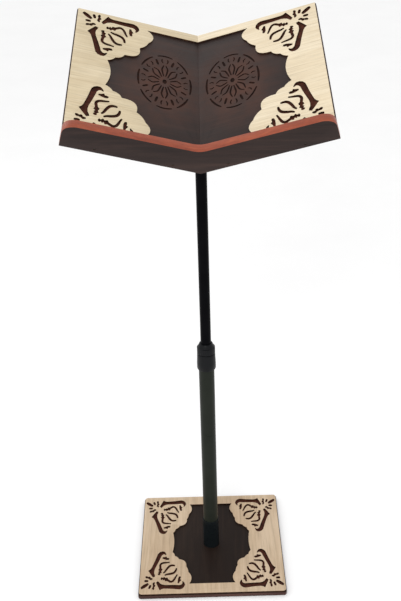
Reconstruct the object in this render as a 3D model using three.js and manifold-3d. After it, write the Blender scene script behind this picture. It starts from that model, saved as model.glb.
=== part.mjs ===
// Quran stand: a V-shaped lectern on a telescopic steel pole that stands in a square wooden base.
// Millimetres, +Z up, +X to the reader's right, +Y away from the reader.
// The origin is the middle of the base's underside, on the pole's axis.
import * as THREE from "three";
import { mergeVertices } from "three/addons/utils/BufferGeometryUtils.js";
import Module from "manifold-3d";

const wasm = await Module();
wasm.setup();

// ---- driving dimensions -------------------------------------------------------------------
const GAP = 0.3; // glue line, weld line or clearance between neighbouring pieces
const ROUND_SIDES = 40; // facets round a tube
const SMALL_SIDES = 16; // facets round a screw
const NAIL_SIDES = 12;

const BASE_SIDE = 300;
const BASE_CORNER_RADIUS = 6;
const BASE_BOARD_THICKNESS = 8;
const OVERLAY_THICKNESS = 2.7;

const FLANGE_SIDE = 120;
const FLANGE_THICKNESS = 2;
const FLANGE_SCREW_OFFSET = 48; // from the pole's axis, along X and along Y
const BASE_SCREW_LENGTH = 6.5;
const SOCKET_RADIUS = 16.7;
const SOCKET_TOP = 77;
const SOCKET_SCREW_HEIGHT = 60;

const LOWER_TUBE_RADIUS = 15;
const UPPER_TUBE_RADIUS = 10;
const TUBE_WALL = 1.2;
const LOWER_TUBE_TOP = 470;

const CLUTCH_BOTTOM = 451;
const CLUTCH_JOINT = 485; // where the clutch body ends and its nut begins
const CLUTCH_TOP = 507;
const CLUTCH_FOOT_RADIUS = 18.1;
const CLUTCH_FOOT_HEIGHT = 14;
const CLUTCH_FOOT_ROUND = 1.5;
const CLUTCH_EDGE_ROUND = 0.8;
const CLUTCH_LEDGE_THICKNESS = 2; // the ledge that rests on the lower tube
const CLUTCH_NUT_RADIUS = 17.3;
const CLUTCH_MOUTH_RADIUS = 12.2; // the nut's cone narrows to this at its top
const NUT_GROOVE = 1; // between the clutch body and its nut
const NUT_RING_HEIGHT = 13;
const SPIGOT_RADIUS = 14.5;
const SPIGOT_HEIGHT = 9;
const COLLET_RADIUS = 12;
const COLLET_LIP = 0.6; // the collet's wall at its tapered end
const COLLET_TAPER = 5; // how far the taper rises over the spigot
const COLLET_SLOT = 1.6;

const BUSH_BOTTOM = 350;
const BUSH_LENGTH = 40;
const BUSH_FLOOR = 2;
const BUSH_CHAMFER = 1;
const UPPER_TUBE_TOP = 950;
const HEAD_SOCKET_RADIUS = 12.2;
const HEAD_SOCKET_BOTTOM = 885;
const HEAD_SCREW_HEIGHT = 899;

const LEAN = THREE.MathUtils.degToRad(21.25); // reading surface, rising away from the reader
const WING = THREE.MathUtils.degToRad(16.5); // each wing, rising from the fold
const FOLD_Y = -122; // front end of the fold on the reading surface
const FOLD_Z = 923;
const PANEL_WIDTH = 215;
const PANEL_LENGTH = 320;
const PANEL_BOARD_THICKNESS = 8;
const OVERLAY_INSET = 1.5; // the board's dark margin outside its overlay

const LIP_THICKNESS = 18;
const LIP_RISE = 12; // above the reading surface
const LIP_DROP = 29; // below the reading surface
const LIP_END_DROP = 5; // the rounded ends come down to this far below the reading surface
const LIP_END_RISE = 9; // the height that their curve leans out to
const LIP_END_LENGTH = 20;
const LIP_VALLEY_LENGTH = 12; // the rounded valley's reach up each wing
const BATTEN_DEPTH = 17.4;
const BATTEN_REACH = 196;
const NAIL_REACH = [38.5, 161.5];
const NAIL_DEPTH = 21.7;
const NAIL_LENGTH = 30;
const NAIL_RADIUS = 0.9;
const NAIL_HEAD_RADIUS = 1.9;
const NAIL_HEAD_THICKNESS = 0.8;

const SADDLE_THICKNESS = 2.5;
const SADDLE_LENGTH = 130; // along the fold
const SADDLE_REACH = 58; // up each wing
const SADDLE_SCREW_REACH = [20, 46];
const SADDLE_SCREW_EDGE = 12; // from the saddle's two ends
const SADDLE_SCREW_LENGTH = 7.5;

// Depths under the reading surface.
const BOARD_TOP = OVERLAY_THICKNESS + GAP;
const BOARD_BOTTOM = BOARD_TOP + PANEL_BOARD_THICKNESS;
const SADDLE_TOP = BOARD_BOTTOM + GAP;
const SADDLE_BOTTOM = SADDLE_TOP + SADDLE_THICKNESS;
// Where the fold crosses the pole's axis, measured along the fold.
const POLE_ALONG_FOLD = -FOLD_Y / Math.cos(LEAN);

// ---- materials ----------------------------------------------------------------------------
function finish(color, roughness, metalness) {
  return new THREE.MeshStandardMaterial({ color, roughness, metalness });
}
const wenge = () => finish(0x3a2e2b, 0.45, 0);
const maple = () => finish(0xe3cfae, 0.55, 0);
const rawTimber = () => finish(0xb58d62, 0.7, 0);
const blackSteel = () => finish(0x17191b, 0.35, 0.6);
const greySteel = () => finish(0x33383a, 0.4, 0.6);
const zincSteel = () => finish(0xa9abac, 0.4, 0.9);
const blackPlastic = () => finish(0x1b1c1e, 0.5, 0);
const whiteNylon = () => finish(0xdcdcd6, 0.6, 0);

// ---- solids -------------------------------------------------------------------------------
function toSolid(geometry) {
  const bare = geometry.index ? geometry.clone() : geometry;
  bare.deleteAttribute("normal");
  bare.deleteAttribute("uv");
  const welded = mergeVertices(bare, 1e-4);
  return new wasm.Manifold(new wasm.Mesh({
    numProp: 3,
    vertProperties: new Float32Array(welded.attributes.position.array),
    triVerts: new Uint32Array(welded.index.array),
  }));
}

function toGeometry(solid) {
  const mesh = solid.getMesh();
  const geometry = new THREE.BufferGeometry();
  geometry.setAttribute("position", new THREE.BufferAttribute(mesh.vertProperties, 3));
  geometry.setIndex(new THREE.BufferAttribute(mesh.triVerts, 1));
  geometry.computeVertexNormals();
  return geometry;
}

function cut(geometry, tools) {
  const solid = tools.reduce((left, tool) => left.subtract(toSolid(tool)), toSolid(geometry));
  return toGeometry(solid);
}

// A solid turned round Z, from [radius, height] points that close on themselves or on the axis.
function turned(profile, sides = ROUND_SIDES) {
  const points = profile.map(([radius, height]) => new THREE.Vector2(radius, height));
  return new THREE.LatheGeometry(points, sides).rotateX(Math.PI / 2);
}

function ring(outer, inner, bottom, top, sides = ROUND_SIDES) {
  return turned([[inner, bottom], [outer, bottom], [outer, top], [inner, top], [inner, bottom]], sides);
}

function rod(radius, bottom, top, sides = ROUND_SIDES) {
  return turned([[0, bottom], [radius, bottom], [radius, top], [0, top]], sides);
}

function block(sizeX, sizeY, bottom, top) {
  return new THREE.BoxGeometry(sizeX, sizeY, top - bottom).translate(0, 0, (bottom + top) / 2);
}

// A flat plate: an outline in X and Y, between two heights.
function plate(outline, bottom, top, curveSegments = 4) {
  const depth = top - bottom;
  return new THREE.ExtrudeGeometry(outline, { depth, bevelEnabled: false, curveSegments })
    .translate(0, 0, bottom);
}

// A bar: a section in X and Z, drawn out along Y between two distances.
function bar(section, near, far, curveSegments = 8) {
  const depth = far - near;
  return new THREE.ExtrudeGeometry(section, { depth, bevelEnabled: false, curveSegments })
    .rotateX(Math.PI / 2)
    .translate(0, far, 0);
}

function polygon(points) {
  return new THREE.Shape(points.map(([x, y]) => new THREE.Vector2(x, y)));
}

function roundedSquare(side, radius) {
  const half = side / 2;
  const shape = new THREE.Shape();
  shape.absarc(half - radius, half - radius, radius, 0, Math.PI / 2);
  shape.absarc(radius - half, half - radius, radius, Math.PI / 2, Math.PI);
  shape.absarc(radius - half, radius - half, radius, Math.PI, Math.PI * 1.5);
  shape.absarc(half - radius, radius - half, radius, Math.PI * 1.5, Math.PI * 2);
  shape.closePath();
  return shape;
}

// A closed path of arcs: each [x, y, bulge] is a cusp, and the arc to the next cusp bulges to its
// right by that much.
function scalloped(cusps) {
  const path = new THREE.Path();
  path.moveTo(cusps[0][0], cusps[0][1]);
  cusps.forEach(([x, y, bulge], index) => {
    const [nextX, nextY] = cusps[(index + 1) % cusps.length];
    const length = Math.hypot(nextX - x, nextY - y);
    const controlX = (x + nextX) / 2 + ((nextY - y) / length) * bulge * 2;
    const controlY = (y + nextY) / 2 - ((nextX - x) / length) * bulge * 2;
    if (bulge === 0) path.lineTo(nextX, nextY);
    else path.quadraticCurveTo(controlX, controlY, nextX, nextY);
  });
  return path;
}

// ---- fretwork -----------------------------------------------------------------------------
// One corner ornament in its own axes: [along the ornament's axis from the corner, to its side].
// Every shape is repeated on the other side of the axis, except the leaf that lies on it.
const FRET_BAR = [
  [41, 9], [40, 21], [40, 33], [50, 34.5], [68, 48.5], [81, 60], [88, 62], [95.5, 60], [99.5, 53],
  [98, 45], [92.5, 52], [80, 44.5], [57, 28], [48.5, 17], [47, 8],
];
const FRET_PETAL = { line: [[69, 4], [79, 7.5], [89, 11], [96, 10], [101, 4]], width: 4.8 };
const FRET_WAVE = { line: [[58, 4], [66, 13], [70, 24], [77, 30], [86, 27], [95, 21]], width: 4.4 };
const FRET_DROP = { line: [[88, 42], [95, 32]], width: 5.4 };
const FRET_SPRIG = { line: [[35, 5], [31, 10], [31, 15], [25, 20]], width: 4.2 };
const FRET_LEAF = { line: [[20, 0], [12, 0], [5, 0]], width: 6.5 };

// The outline of a stroke: full width along its middle, half of it at its two ends.
function strokeOutline({ line, width }, steps) {
  const curve = new THREE.CatmullRomCurve3(line.map(([x, y]) => new THREE.Vector3(x, y, 0)));
  const left = [];
  const right = [];
  for (let step = 0; step <= steps; step += 1) {
    const t = step / steps;
    const point = curve.getPoint(t);
    const tangent = curve.getTangent(t);
    const half = (width / 2) * (0.5 + 0.5 * Math.sin(Math.PI * t));
    left.push([point.x - tangent.y * half, point.y + tangent.x * half]);
    right.unshift([point.x + tangent.y * half, point.y - tangent.x * half]);
  }
  return [...left, ...right];
}

// The ornament's holes in a corner. place turns the ornament's [along, aside] into [x, y].
function cornerHoles(place) {
  const strokes = [[FRET_PETAL, 4], [FRET_WAVE, 5], [FRET_DROP, 2], [FRET_SPRIG, 3]];
  const half = [FRET_BAR, ...strokes.map(([stroke, steps]) => strokeOutline(stroke, steps))];
  const mirrored = half.map((outline) => outline.map(([along, aside]) => [along, -aside]));
  const leaf = strokeOutline(FRET_LEAF, 3);
  return [...half, ...mirrored, leaf].map((outline) => polygon(outline.map(place)));
}

// ---- base ---------------------------------------------------------------------------------
const base = new THREE.Group();
const boardTop = BASE_BOARD_THICKNESS;
const overlayBottom = boardTop + GAP;

function add(parent, name, geometry, material) {
  const mesh = new THREE.Mesh(geometry, material);
  mesh.name = name;
  parent.add(mesh);
  return mesh;
}

// A countersunk screw that points up, its head's face at the given height.
const SCREW_HEAD_RADIUS = 3.8;
const SCREW_SHANK_RADIUS = 1.9;
const SCREW_TIP = 1.2;
function countersunkScrew(face, length, clearance = 0) {
  const head = SCREW_HEAD_RADIUS + clearance;
  const shank = SCREW_SHANK_RADIUS + clearance;
  const neck = face + SCREW_HEAD_RADIUS - SCREW_SHANK_RADIUS;
  const tip = face + length + clearance;
  const start = face - clearance * 2;
  return turned([[0, start], [head, start], [head, face], [shank, neck], [shank, tip - SCREW_TIP], [0, tip]],
    SMALL_SIDES);
}

// A pan-head screw along +Y: its head outside, its tip towards the pole's axis.
const PAN_SHANK_RADIUS = 1.8;
const PAN_HEAD_RADIUS = 4;
const PAN_HEAD_HEIGHT = 2.6;
const PAN_HEAD_ROUND = 1.2;
function panScrew(seatY, tipY, height) {
  const top = seatY + PAN_HEAD_HEIGHT;
  const profile = [
    [0, tipY], [PAN_SHANK_RADIUS, tipY], [PAN_SHANK_RADIUS, seatY], [PAN_HEAD_RADIUS, seatY],
    [PAN_HEAD_RADIUS, top - PAN_HEAD_ROUND], [PAN_HEAD_RADIUS - PAN_HEAD_ROUND, top], [0, top],
  ];
  return turned(profile, SMALL_SIDES).rotateX(-Math.PI / 2).translate(0, 0, height);
}
function panScrewHole(fromY, toY, height) {
  return rod(PAN_SHANK_RADIUS + GAP, fromY, toY, SMALL_SIDES)
    .rotateX(-Math.PI / 2)
    .translate(0, 0, height);
}

const screwPlaces = [[-1, -1], [1, -1], [1, 1], [-1, 1]]
  .map(([x, y]) => [x * FLANGE_SCREW_OFFSET, y * FLANGE_SCREW_OFFSET]);
const baseScrewHoles = screwPlaces
  .map(([x, y]) => countersunkScrew(0, BASE_SCREW_LENGTH, GAP).translate(x, y, 0));

const basePocket = block(FLANGE_SIDE + 2 * GAP, FLANGE_SIDE + 2 * GAP, -1, FLANGE_THICKNESS + GAP);
const baseBore = rod(SOCKET_RADIUS + GAP, 1, boardTop + 1);
add(base, "base_board",
  cut(plate(roundedSquare(BASE_SIDE, BASE_CORNER_RADIUS), 0, boardTop),
    [basePocket, baseBore, ...baseScrewHoles]),
  wenge());

// The base overlay's opening: the cusps of its right far quarter, from the far edge to the side.
const BASE_QUARTER = [
  [47, 122, 5.5], [49, 89, 1], [53.5, 73, 6], [69, 51, 1.2], [78, 41, 1.2], [83, 30, 3],
];
function baseOpening() {
  const far = BASE_QUARTER;
  const near = far.map(([x, y], index) => [x, -y, index > 0 ? far[index - 1][2] : 0]).reverse();
  const right = [...far, ...near];
  const left = right.map(([x, y, bulge]) => [-x, -y, bulge]);
  return scalloped([...right, ...left]);
}

// The base ornament's axes, for the right far corner.
const BASE_FRET = { origin: [147.3, 133.5], along: [-0.704, -0.585], aside: [0.395, -0.855] };
function placeIn(fret, signX, signY) {
  return ([along, aside]) => [
    signX * (fret.origin[0] + along * fret.along[0] + aside * fret.aside[0]),
    signY * (fret.origin[1] + along * fret.along[1] + aside * fret.aside[1]),
  ];
}
const baseOverlay = roundedSquare(BASE_SIDE - 2 * OVERLAY_INSET, BASE_CORNER_RADIUS);
baseOverlay.holes.push(baseOpening());
for (const [signX, signY] of [[1, 1], [-1, 1], [-1, -1], [1, -1]]) {
  baseOverlay.holes.push(...cornerHoles(placeIn(BASE_FRET, signX, signY)));
}
add(base, "base_overlay", plate(baseOverlay, overlayBottom, overlayBottom + OVERLAY_THICKNESS), maple());

add(base, "flange_plate",
  cut(block(FLANGE_SIDE, FLANGE_SIDE, 0, FLANGE_THICKNESS), baseScrewHoles),
  blackSteel());
screwPlaces.forEach(([x, y], index) => {
  add(base, `flange_screw_${index + 1}`, countersunkScrew(0, BASE_SCREW_LENGTH), zincSteel())
    .position.set(x, y, 0);
});

const tubeFoot = FLANGE_THICKNESS + GAP;
const socketScrewSeat = SOCKET_RADIUS + GAP;
const socketScrewTip = LOWER_TUBE_RADIUS + GAP;
add(base, "pole_socket",
  cut(ring(SOCKET_RADIUS, LOWER_TUBE_RADIUS + GAP, tubeFoot, SOCKET_TOP),
    [panScrewHole(0, 2 * SOCKET_RADIUS, SOCKET_SCREW_HEIGHT)]),
  blackSteel());
add(base, "socket_screw", panScrew(socketScrewSeat, socketScrewTip, SOCKET_SCREW_HEIGHT), zincSteel());
add(base, "lower_tube",
  ring(LOWER_TUBE_RADIUS, LOWER_TUBE_RADIUS - TUBE_WALL, tubeFoot, LOWER_TUBE_TOP),
  greySteel());

// ---- height clutch ------------------------------------------------------------------------
const slideRadius = UPPER_TUBE_RADIUS + GAP;
const clutchBore = LOWER_TUBE_RADIUS + GAP;
const clutchShoulder = LOWER_TUBE_TOP + GAP;
const clutchLedge = clutchShoulder + CLUTCH_LEDGE_THICKNESS;
const spigotTop = CLUTCH_JOINT + SPIGOT_HEIGHT;
const colletBore = COLLET_RADIUS + GAP;
const clutchBodyProfile = [
  [clutchBore, CLUTCH_BOTTOM],
  [CLUTCH_FOOT_RADIUS - CLUTCH_FOOT_ROUND, CLUTCH_BOTTOM],
  [CLUTCH_FOOT_RADIUS, CLUTCH_BOTTOM + CLUTCH_FOOT_ROUND],
  [CLUTCH_FOOT_RADIUS, CLUTCH_BOTTOM + CLUTCH_FOOT_HEIGHT],
  [CLUTCH_NUT_RADIUS, CLUTCH_JOINT - CLUTCH_EDGE_ROUND],
  [CLUTCH_NUT_RADIUS - CLUTCH_EDGE_ROUND, CLUTCH_JOINT],
  [SPIGOT_RADIUS, CLUTCH_JOINT],
  [SPIGOT_RADIUS, spigotTop],
  [colletBore, spigotTop],
  [colletBore, clutchLedge],
  [slideRadius, clutchLedge],
  [slideRadius, clutchShoulder],
  [clutchBore, clutchShoulder],
  [clutchBore, CLUTCH_BOTTOM],
];
add(base, "clutch_body", turned(clutchBodyProfile), blackPlastic());

const colletBottom = clutchLedge + GAP;
const colletTop = spigotTop + COLLET_TAPER;
const colletProfile = [
  [slideRadius, colletBottom],
  [COLLET_RADIUS, colletBottom],
  [COLLET_RADIUS, spigotTop],
  [slideRadius + COLLET_LIP, colletTop],
  [slideRadius, colletTop],
  [slideRadius, colletBottom],
];
const colletSlot = block(COLLET_SLOT, 2 * COLLET_RADIUS, CLUTCH_BOTTOM, CLUTCH_TOP)
  .translate(0, COLLET_RADIUS, 0);
add(base, "clutch_collet", cut(turned(colletProfile), [colletSlot]), whiteNylon());

// The nut: a ring under a cone, hollowed to follow the spigot and the collet's taper.
const nutBottom = CLUTCH_JOINT + NUT_GROOVE;
const nutBore = SPIGOT_RADIUS + GAP;
const nutCeiling = spigotTop + GAP;
const nutProfile = [
  [nutBore, nutBottom],
  [CLUTCH_NUT_RADIUS - CLUTCH_EDGE_ROUND, nutBottom],
  [CLUTCH_NUT_RADIUS, nutBottom + CLUTCH_EDGE_ROUND],
  [CLUTCH_NUT_RADIUS, nutBottom + NUT_RING_HEIGHT - CLUTCH_EDGE_ROUND],
  [CLUTCH_NUT_RADIUS - CLUTCH_EDGE_ROUND, nutBottom + NUT_RING_HEIGHT],
  [CLUTCH_MOUTH_RADIUS, CLUTCH_TOP],
  [slideRadius, CLUTCH_TOP],
  [slideRadius, colletTop + GAP],
  [slideRadius + COLLET_LIP + 2 * GAP, colletTop + GAP],
  [colletBore + GAP, nutCeiling],
  [nutBore, nutCeiling],
  [nutBore, nutBottom],
];
add(base, "clutch_nut", turned(nutProfile), blackPlastic());

// ---- sliding mast -------------------------------------------------------------------------
const mast = new THREE.Group();
const bushRadius = LOWER_TUBE_RADIUS - TUBE_WALL - GAP;
const bushTop = BUSH_BOTTOM + BUSH_LENGTH;
const bushFloorTop = BUSH_BOTTOM + BUSH_FLOOR;
const upperTubeBore = UPPER_TUBE_RADIUS - TUBE_WALL;
const bushProfile = [
  [upperTubeBore, BUSH_BOTTOM],
  [bushRadius - BUSH_CHAMFER, BUSH_BOTTOM],
  [bushRadius, BUSH_BOTTOM + BUSH_CHAMFER],
  [bushRadius, bushTop - BUSH_CHAMFER],
  [bushRadius - BUSH_CHAMFER, bushTop],
  [slideRadius, bushTop],
  [slideRadius, bushFloorTop],
  [upperTubeBore, bushFloorTop],
  [upperTubeBore, BUSH_BOTTOM],
];
add(mast, "guide_bush", turned(bushProfile), whiteNylon());
add(mast, "upper_tube",
  ring(UPPER_TUBE_RADIUS, upperTubeBore, bushFloorTop + GAP, UPPER_TUBE_TOP),
  blackSteel());

// ---- lectern ------------------------------------------------------------------------------
// In the lectern's own axes X is across the fold, Y runs up the fold from the lip, and Z stands
// square to the fold.
const lectern = new THREE.Group();
lectern.position.set(0, FOLD_Y, FOLD_Z);
lectern.rotation.x = LEAN;

const sine = Math.sin(WING);
const cosine = Math.cos(WING);
// A point on a wing, from its distance up the wing and its height over the reading surface.
const onWing = (reach, height) => [reach * cosine - height * sine, reach * sine + height * cosine];
// The reach at which a height over the reading surface meets the plane of the fold.
const mitre = (height) => height * Math.tan(WING);

// A wing's own axes: side is 1 for the right wing and -1 for the left, and reach is side * X.
function wingGroup(side) {
  const wing = new THREE.Group();
  wing.rotation.y = -side * WING;
  lectern.add(wing);
  return wing;
}

// A slab of a wing between two depths under the reading surface, mitred at the fold.
function wingSlab(side, topDepth, bottomDepth, reach, near, far) {
  const points = [
    [mitre(-topDepth) + GAP / 2, -topDepth],
    [reach, -topDepth],
    [reach, -bottomDepth],
    [mitre(-bottomDepth) + GAP / 2, -bottomDepth],
  ];
  return bar(polygon(points.map(([x, z]) => [side * x, z])), near, far);
}

// The wing overlay's opening: cusps from the fold at the far edge, round the side, to the near edge.
const PANEL_OPENING = [
  [-1, 298, 0], [91, 298, 9.5], [88, 261, 2.2], [103, 240, 12], [128, 211, 3], [143, 198, 1.7],
  [156, 186, 7], [156, 118, 1.7], [143, 106, 3], [128, 93, 12], [103, 64, 2.2], [88, 43, 9.5],
  [91, 7, 0], [-1, 7, 0],
];
// The far ornament's axes on a wing, and the height that the near one is mirrored about.
const PANEL_FRET = { origin: [206.5, 311.5], along: [-0.735, -0.69], aside: [0.51, -0.87] };
const PANEL_FRET_MIDDLE = 152;

function wingOverlay(side) {
  const reach = PANEL_WIDTH - OVERLAY_INSET;
  const far = PANEL_LENGTH - OVERLAY_INSET;
  const frame = [[GAP, GAP], [reach, GAP], [reach, far], [GAP, far]];
  // The opening runs through to the fold, so the overlay is a C whose two strips end at the fold.
  const opening = new THREE.Shape(scalloped(PANEL_OPENING).getPoints(4));
  const farPlace = placeIn(PANEL_FRET, 1, 1);
  const nearPlace = (point) => {
    const [x, y] = farPlace(point);
    return [x, 2 * PANEL_FRET_MIDDLE - y];
  };
  const tools = [opening, ...cornerHoles(farPlace), ...cornerHoles(nearPlace)]
    .map((hole) => plate(hole, -OVERLAY_THICKNESS - 1, 1));
  const whole = cut(plate(polygon(frame), -OVERLAY_THICKNESS, 0), tools);
  return side > 0 ? whole : mirroredInX(whole);
}

function mirroredInX(geometry) {
  const copy = geometry.clone().scale(-1, 1, 1);
  const { array } = copy.index;
  for (let corner = 0; corner < array.length; corner += 3) {
    [array[corner + 1], array[corner + 2]] = [array[corner + 2], array[corner + 1]];
  }
  copy.computeVertexNormals();
  return copy;
}

const saddleNear = POLE_ALONG_FOLD - SADDLE_LENGTH / 2;
const saddleFar = POLE_ALONG_FOLD + SADDLE_LENGTH / 2;
const saddleScrewPlaces = SADDLE_SCREW_REACH.flatMap((reach) => [
  [reach, saddleNear + SADDLE_SCREW_EDGE],
  [reach, saddleFar - SADDLE_SCREW_EDGE],
]);
function saddleScrew(clearance = 0) {
  return countersunkScrew(0, SADDLE_SCREW_LENGTH, clearance);
}

for (const [side, name] of [[-1, "left"], [1, "right"]]) {
  const wing = wingGroup(side);
  const screwHoles = saddleScrewPlaces
    .map(([reach, along]) => saddleScrew(GAP).translate(side * reach, along, -SADDLE_BOTTOM));
  add(wing, `${name}_panel`,
    cut(wingSlab(side, BOARD_TOP, BOARD_BOTTOM, PANEL_WIDTH, GAP, PANEL_LENGTH), screwHoles),
    wenge());
  add(wing, `${name}_overlay`, wingOverlay(side), maple());
  // Half of the steel saddle: two flat leaves, welded together along the fold.
  add(wing, `${name}_saddle_leaf`,
    cut(wingSlab(side, SADDLE_TOP, SADDLE_BOTTOM, SADDLE_REACH, saddleNear, saddleFar), screwHoles),
    blackSteel());
  saddleScrewPlaces.forEach(([reach, along], index) => {
    add(wing, `saddle_screw_${name}_${index + 1}`, saddleScrew(), zincSteel())
      .position.set(side * reach, along, -SADDLE_BOTTOM);
  });
  const nailHoles = NAIL_REACH.map((reach) => nail(GAP).translate(side * reach, 0, -NAIL_DEPTH));
  const battenTop = BOARD_BOTTOM + GAP;
  add(wing, `${name}_batten`,
    cut(wingSlab(side, battenTop, battenTop + BATTEN_DEPTH, BATTEN_REACH, GAP, LIP_THICKNESS), nailHoles),
    rawTimber());
  NAIL_REACH.forEach((reach, index) => {
    add(wing, `lip_nail_${name}_${index + 1}`, nail(), zincSteel())
      .position.set(side * reach, 0, -NAIL_DEPTH);
  });
}

// A flat-headed nail that enters the lip's front and ends inside the batten.
function nail(clearance = 0) {
  const front = -LIP_THICKNESS;
  const neck = front + NAIL_HEAD_THICKNESS;
  const shank = NAIL_RADIUS + clearance;
  const head = NAIL_HEAD_RADIUS + clearance;
  const tip = NAIL_LENGTH - LIP_THICKNESS + clearance;
  const profile = [
    [0, front - clearance], [head, front - clearance], [head, neck], [shank, neck],
    [shank, tip - 2 * NAIL_RADIUS], [0, tip],
  ];
  return turned(profile, NAIL_SIDES).rotateX(-Math.PI / 2);
}

// The lip: one V-shaped board across the panels' near ends, its top ends rounded down.
function lipSection() {
  const shape = new THREE.Shape();
  const right = (reach, height) => onWing(reach, height);
  const left = (reach, height) => {
    const [x, z] = onWing(reach, height);
    return [-x, z];
  };
  const outer = PANEL_WIDTH;
  const hump = outer - LIP_END_LENGTH;
  const valley = mitre(LIP_RISE) + LIP_VALLEY_LENGTH;
  shape.moveTo(0, -LIP_DROP / cosine);
  shape.lineTo(...right(outer, -LIP_DROP));
  shape.lineTo(...right(outer, -LIP_END_DROP));
  shape.quadraticCurveTo(...right(outer, LIP_END_RISE), ...right(hump, LIP_RISE));
  shape.lineTo(...right(valley, LIP_RISE));
  shape.quadraticCurveTo(0, LIP_RISE / cosine, ...left(valley, LIP_RISE));
  shape.lineTo(...left(hump, LIP_RISE));
  shape.quadraticCurveTo(...left(outer, LIP_END_RISE), ...left(outer, -LIP_END_DROP));
  shape.lineTo(...left(outer, -LIP_DROP));
  shape.closePath();
  return shape;
}
const lipNailHoles = [-1, 1].flatMap((side) => NAIL_REACH.map((reach) => {
  const [x, z] = onWing(reach, -NAIL_DEPTH);
  return nail(GAP).rotateY(-side * WING).translate(side * x, 0, z);
}));
add(lectern, "front_lip", cut(bar(lipSection(), -LIP_THICKNESS, 0), lipNailHoles), wenge());

// The head socket: an upright sleeve over the mast's top, its end shaped to the saddle's underside.
const headBlankTop = UPPER_TUBE_TOP + SADDLE_REACH;
const seatDepth = SADDLE_BOTTOM + GAP;
const [seatX, seatZ] = onWing(SADDLE_REACH, -seatDepth);
const aboveSeat = polygon([
  [0, -seatDepth / cosine], [seatX, seatZ], [seatX, SADDLE_LENGTH], [-seatX, SADDLE_LENGTH], [-seatX, seatZ],
]);
const aboveSaddle = bar(aboveSeat, saddleNear - SADDLE_LENGTH, saddleFar + SADDLE_LENGTH)
  .rotateX(LEAN)
  .translate(0, FOLD_Y, FOLD_Z);
add(mast, "head_socket",
  cut(ring(HEAD_SOCKET_RADIUS, UPPER_TUBE_RADIUS + GAP, HEAD_SOCKET_BOTTOM, headBlankTop),
    [aboveSaddle, panScrewHole(0, 2 * HEAD_SOCKET_RADIUS, HEAD_SCREW_HEIGHT)]),
  blackSteel());
add(mast, "head_screw",
  panScrew(HEAD_SOCKET_RADIUS + GAP, UPPER_TUBE_RADIUS + GAP, HEAD_SCREW_HEIGHT),
  zincSteel());

const group = new THREE.Group();
group.add(base, mast, lectern);

export default group;
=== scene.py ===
"""The looks of the quran stand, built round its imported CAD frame. Sizes are in millimetres, and MM
turns them into Blender's metres."""
import math

import bmesh
import bpy
from mathutils import Matrix, Vector


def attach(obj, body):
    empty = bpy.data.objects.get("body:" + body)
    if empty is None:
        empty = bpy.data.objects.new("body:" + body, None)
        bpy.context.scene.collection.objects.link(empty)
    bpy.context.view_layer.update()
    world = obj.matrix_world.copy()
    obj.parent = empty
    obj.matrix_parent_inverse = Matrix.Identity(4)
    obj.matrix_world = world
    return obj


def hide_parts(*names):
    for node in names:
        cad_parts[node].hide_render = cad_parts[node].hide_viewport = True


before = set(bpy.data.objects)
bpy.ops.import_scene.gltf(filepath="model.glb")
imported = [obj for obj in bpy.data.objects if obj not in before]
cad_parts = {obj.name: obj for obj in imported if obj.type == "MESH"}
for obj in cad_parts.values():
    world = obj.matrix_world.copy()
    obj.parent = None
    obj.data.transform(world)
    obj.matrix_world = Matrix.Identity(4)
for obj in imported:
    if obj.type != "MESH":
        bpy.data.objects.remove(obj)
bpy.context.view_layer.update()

MM = 0.001

# ---- sizes shared with the CAD model ----------------------------------------------------------
LEAN = math.radians(21.25)
WING = math.radians(16.5)
FOLD_Y = -122
FOLD_Z = 923
PANEL_WIDTH = 215
PANEL_LENGTH = 320
OVERLAY_THICKNESS = 2.7
OVERLAY_INSET = 1.5
OVERLAY_BEVEL = 0.2
GLUE_GAP = 0.3
END_GAP = 0.05  # keeps a board's end off its outline in the CAD model
BOARD_THICKNESS = 8
BOARD_TOP = OVERLAY_THICKNESS + GLUE_GAP
BOARD_BOTTOM = BOARD_TOP + BOARD_THICKNESS
BASE_SIDE = 300
BASE_CORNER_RADIUS = 6
FLANGE_SIDE = 120
FLANGE_THICKNESS = 2
FLANGE_SCREW = 48  # from the pole's axis, along X and along Y
FLANGE_HOLE_RADIUS = 4.1
SOCKET_RADIUS = 16.7
SOCKET_TOP = 77
SOCKET_SCREW_HEIGHT = 60
LOWER_TUBE_RADIUS = 15
LOWER_TUBE_TOP = 470
UPPER_TUBE_RADIUS = 10
UPPER_TUBE_BOTTOM = 352.3
UPPER_TUBE_TOP = 950
TUBE_WALL = 1.2
LIP_THICKNESS = 18
LIP_RISE = 12
LIP_DROP = 29
LIP_END_DROP = 5  # the rounded ends come down to this far under the reading surface
LIP_END_RISE = 9  # the height that their curve leans out to
LIP_END_LENGTH = 20
LIP_VALLEY_LENGTH = 12
BATTEN_DEPTH = 17.4
BATTEN_REACH = 196
NAIL_REACH = (38.5, 161.5)
NAIL_DEPTH = 21.7
NAIL_LENGTH = 30
SADDLE_LENGTH = 130
SADDLE_REACH = 58
SADDLE_THICKNESS = 2.5
SADDLE_BOTTOM = BOARD_BOTTOM + GLUE_GAP + SADDLE_THICKNESS
SADDLE_SCREW_REACH = (20, 46)
SADDLE_SCREW_EDGE = 12  # from the saddle's two ends
SCREW_CONE = [(0, -1), (4.1, -1), (4.1, 0.1), (2.2, 2), (2.2, 4), (0, 4)]
HEAD_SOCKET_RADIUS = 12.2
HEAD_SOCKET_INSIDE = 10.3
HEAD_SOCKET_BOTTOM = 885
HEAD_SOCKET_BLANK_TOP = 1008  # before its top is cut to the saddle
HEAD_SCREW_HEIGHT = 899
# The saddle's two ends, measured along the fold from the lip, about the pole's axis.
POLE_ALONG_FOLD = -FOLD_Y / math.cos(LEAN)
SADDLE_NEAR = POLE_ALONG_FOLD - SADDLE_LENGTH / 2
SADDLE_FAR = POLE_ALONG_FOLD + SADDLE_LENGTH / 2

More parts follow.
